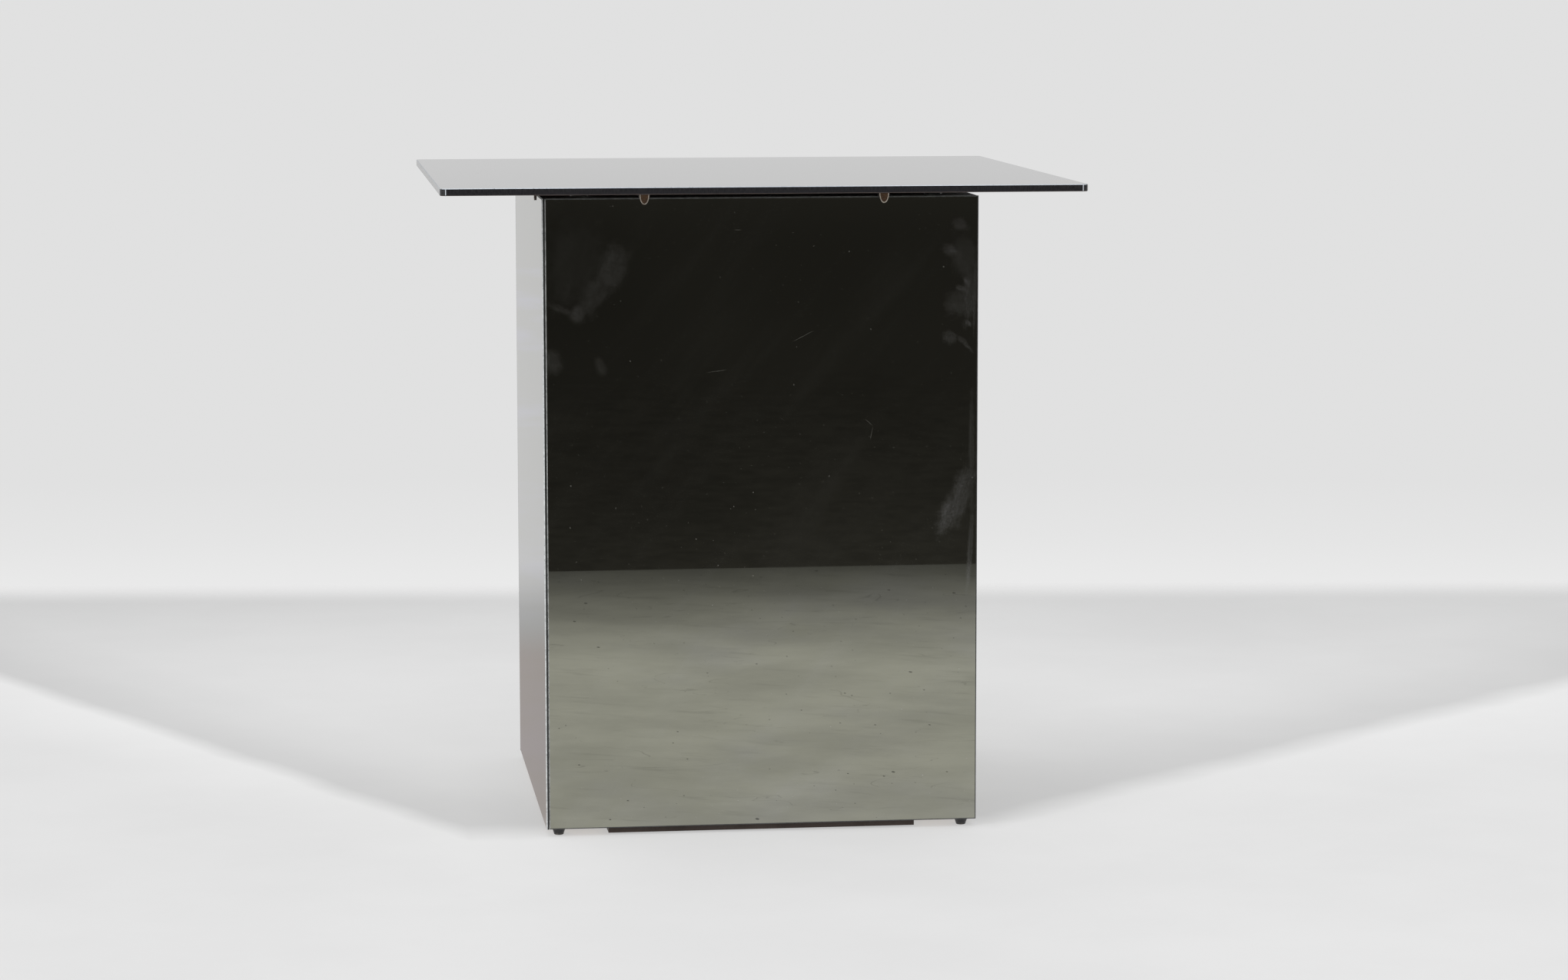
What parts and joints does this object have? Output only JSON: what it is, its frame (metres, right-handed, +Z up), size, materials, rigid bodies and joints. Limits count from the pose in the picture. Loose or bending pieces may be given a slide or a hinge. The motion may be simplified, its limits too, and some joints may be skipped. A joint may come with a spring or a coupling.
{
  "type": "pedestal table",
  "caption": "Square pedestal table: a tall box base clad in smoked mirror panels, on low glides, carrying a loose overhanging plate of dark smoked glass on clear bumpers.",
  "frame": {"origin": "on the floor, under the middle of the glass top", "axes": "+Z up; +X to the right along the front; +Y from the front to the back"},
  "size_m": [0.712, 0.712, 0.7385],
  "materials": {
    "smoked_glass": "polished smoked float glass, nearly black, with ground and polished edges",
    "smoked_mirror": "smoked float glass silvered behind, greenish grey, with ground arrises",
    "clear_bumper": "clear soft polyurethane",
    "brown_clip": "glossy brown moulded plastic",
    "plated_screw": "zinc yellow plated steel",
    "nail_steel": "bright steel",
    "mounting_tape": "white foam mounting tape",
    "dark_board": "chipboard stained dark brown",
    "bare_board": "bare sanded chipboard",
    "batten_wood": "planed softwood",
    "dark_hardboard": "dark brown tempered hardboard",
    "black_glide": "black moulded nylon"
  },
  "bodies": {
    "base": {"bumper_front_right": "clear_bumper", "bumper_back_right": "clear_bumper", "bumper_back_left": "clear_bumper", "bumper_front_left": "clear_bumper", "mirror_front": "smoked_mirror", "mirror_right": "smoked_mirror", "mirror_back": "smoked_mirror", "mirror_left": "smoked_mirror", "mounting_tape_front": "mounting_tape", "mounting_tape_right": "mounting_tape", "mounting_tape_back": "mounting_tape", "mounting_tape_left": "mounting_tape", "front_clip_left": "brown_clip", "front_clip_right": "brown_clip", "right_clip_left": "brown_clip", "right_clip_right": "brown_clip", "back_clip_left": "brown_clip", "back_clip_right": "brown_clip", "left_clip_left": "brown_clip", "left_clip_right": "brown_clip", "clip_screws": "plated_screw", "carcass_top": "dark_board", "carcass_front": "bare_board", "carcass_right": "bare_board", "carcass_back": "bare_board", "carcass_left": "bare_board", "carcass_bottom": "bare_board", "corner_batten_front_right": "batten_wood", "corner_batten_back_right": "batten_wood", "corner_batten_back_left": "batten_wood", "corner_batten_front_left": "batten_wood", "corner_screws": "plated_screw", "top_board_screws": "plated_screw", "glide_front_right": "black_glide", "glide_back_right": "black_glide", "glide_back_left": "black_glide", "glide_front_left": "black_glide", "glide_nails": "nail_steel", "bottom_pad": "dark_hardboard", "bottom_pad_screws": "plated_screw"},
    "top": {"glass_top": "smoked_glass"}
  },
  "joints": [
    {"name": "top_lift", "type": "slide", "parent": "base", "child": "top", "axis": [0, 0, 1], "range_m": [0, 0.15]}
  ]
}
